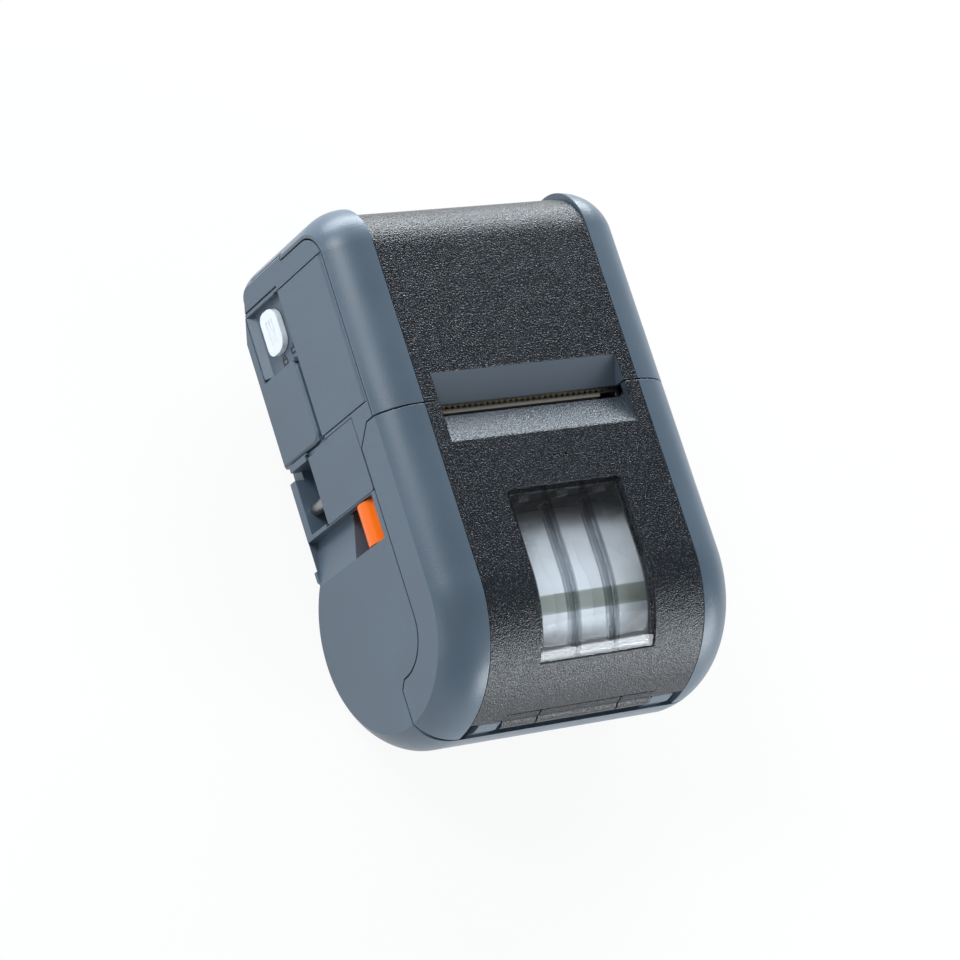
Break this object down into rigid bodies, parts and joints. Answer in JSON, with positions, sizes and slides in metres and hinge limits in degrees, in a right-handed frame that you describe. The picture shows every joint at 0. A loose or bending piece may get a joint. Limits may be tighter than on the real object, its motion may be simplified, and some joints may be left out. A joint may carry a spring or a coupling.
{
  "type": "portable thermal label printer",
  "caption": "Handheld thermal label printer with a hinged roll cover, clear window, serrated paper slot, slide-in battery, port flap and strap anchors.",
  "frame": {"origin": "middle of the bounding box, on the plane under the printer lying on its back", "axes": "+X across the width, +Y along the length towards the top end, +Z out of the front face"},
  "size_m": [0.1, 0.152, 0.067],
  "materials": {
    "gray_case": "satin moulded",
    "black_panel": "fine sparkle grain",
    "orange_lever": "satin moulded",
    "white_pill": "satin moulded",
    "clear_window": "polished clear",
    "label_paper": "matt paper",
    "core_card": "matt cardboard",
    "dark_inner": "matt moulded",
    "black_rubber": "matt rubber",
    "steel": "brushed",
    "bronze_steel": "brushed warm",
    "sink_aluminium": "matt extruded",
    "insert_brass": "machined",
    "white_gear": "moulded",
    "board_green": "solder mask",
    "key_gray": "satin moulded",
    "head_ceramic": "glazed",
    "lens_frost": "frosted clear"
  },
  "bodies": {
    "housing": {"main_housing": "gray_case", "top_panel": "black_panel", "idler_axle": "steel", "feed_motor": "steel", "mech_frame": "steel", "print_head": "head_ceramic", "head_sink": "sink_aluminium", "head_spring": "steel", "tear_bar": "bronze_steel", "rack_cover": "dark_inner", "paper_guide": "dark_inner", "paper_sensor": "dark_inner", "hinge_pin": "steel", "battery_contacts": "insert_brass", "port_pin": "steel", "main_board": "board_green", "dc_socket": "dark_inner", "usb_socket": "steel", "key_board": "board_green", "top_bumper_left": "gray_case", "top_bumper_right": "gray_case", "strap_post_left": "steel", "strap_post_right": "steel", "side_plate_left": "gray_case", "side_plate_right": "gray_case", "power_lens": "lens_frost", "feed_lens": "lens_frost", "clip_insert_left": "insert_brass", "clip_insert_right": "insert_brass"},
    "cover": {"cover_panel": "black_panel", "cover_bumper_left": "gray_case", "cover_bumper_right": "gray_case", "window_pane": "clear_window", "cover_liner": "dark_inner", "platen_bush_left": "dark_inner", "platen_bush_right": "dark_inner"},
    "platen": {"platen_shaft": "steel", "platen_rubber": "black_rubber", "platen_gear": "white_gear"},
    "idler": {"idler_gear": "white_gear"},
    "rotor": {"motor_pinion": "insert_brass"},
    "roll": {"label_roll": "label_paper", "roll_core": "core_card"},
    "left_guide": {"roll_guide_left": "dark_inner"},
    "right_guide": {"roll_guide_right": "dark_inner"},
    "width_pinion": {"guide_pinion": "white_gear"},
    "lever": {"release_lever": "orange_lever"},
    "battery": {"battery_pack": "gray_case"},
    "lock": {"battery_lock": "white_pill"},
    "port_flap": {"port_cover": "gray_case"},
    "key_power": {"power_key": "key_gray"},
    "key_feed": {"feed_key": "key_gray"},
    "key_wireless": {"wireless_key": "key_gray"},
    "key_link": {"link_key": "key_gray"}
  },
  "joints": [
    {"name": "cover_hinge", "type": "hinge", "parent": "housing", "child": "cover", "pos_m": [0, -0.0734, 0.0385], "axis": [1, 0, 0], "range_deg": [0, 95]},
    {"name": "platen_spin", "type": "hinge", "parent": "cover", "child": "platen", "pos_m": [0, 0.0052, 0.0567], "axis": [1, 0, 0], "continuous": true},
    {"name": "idler_spin", "type": "hinge", "parent": "housing", "child": "idler", "pos_m": [0.0376, 0.0115, 0.04579], "axis": [1, 0, 0], "continuous": true},
    {"name": "rotor_spin", "type": "hinge", "parent": "housing", "child": "rotor", "pos_m": [0.0376, 0.0223, 0.04579], "axis": [1, 0, 0], "continuous": true},
    {"name": "roll_spin", "type": "hinge", "parent": "housing", "child": "roll", "pos_m": [0, -0.04, 0.034], "axis": [1, 0, 0], "continuous": true},
    {"name": "left_guide_slide", "type": "slide", "parent": "housing", "child": "left_guide", "axis": [-1, 0, 0], "range_m": [0, 0.004]},
    {"name": "right_guide_slide", "type": "slide", "parent": "housing", "child": "right_guide", "axis": [1, 0, 0], "range_m": [0, 0.004]},
    {"name": "width_pinion_turn", "type": "hinge", "parent": "housing", "child": "width_pinion", "pos_m": [0, -0.04, 0.0048], "axis": [0, 0, 1], "range_deg": [0, 76.5]},
    {"name": "lever_slide", "type": "slide", "parent": "housing", "child": "lever", "axis": [0, 0, -1], "range_m": [0, 0.003], "stiffness_N_per_m": 600, "springref_m": -0.002},
    {"name": "battery_slide", "type": "slide", "parent": "housing", "child": "battery", "axis": [0, 0, -1], "range_m": [0, 0.03]},
    {"name": "lock_slide", "type": "slide", "parent": "housing", "child": "lock", "axis": [0, -1, 0], "range_m": [0, 0.003]},
    {"name": "port_hinge", "type": "hinge", "parent": "housing", "child": "port_flap", "pos_m": [-0.0485, 0.03935, 0.0574], "axis": [0, 1, 0], "range_deg": [0, 95]},
    {"name": "power_press", "type": "slide", "parent": "housing", "child": "key_power", "axis": [0, -1, 0], "range_m": [0, 0.0006], "stiffness_N_per_m": 1500, "springref_m": -0.0003},
    {"name": "feed_press", "type": "slide", "parent": "housing", "child": "key_feed", "axis": [0, -1, 0], "range_m": [0, 0.0006], "stiffness_N_per_m": 1500, "springref_m": -0.0003},
    {"name": "wireless_press", "type": "slide", "parent": "housing", "child": "key_wireless", "axis": [0, -1, 0], "range_m": [0, 0.0006], "stiffness_N_per_m": 1500, "springref_m": -0.0003},
    {"name": "link_press", "type": "slide", "parent": "housing", "child": "key_link", "axis": [0, -1, 0], "range_m": [0, 0.0006], "stiffness_N_per_m": 1500, "springref_m": -0.0003}
  ],
  "couplings": [
    {"joint": "idler_spin", "follows": "platen_spin", "ratio": -0.75},
    {"joint": "rotor_spin", "follows": "platen_spin", "ratio": 1.5},
    {"joint": "right_guide_slide", "follows": "left_guide_slide", "ratio": 1},
    {"joint": "width_pinion_turn", "follows": "left_guide_slide", "rad_per_m": 333.33}
  ]
}
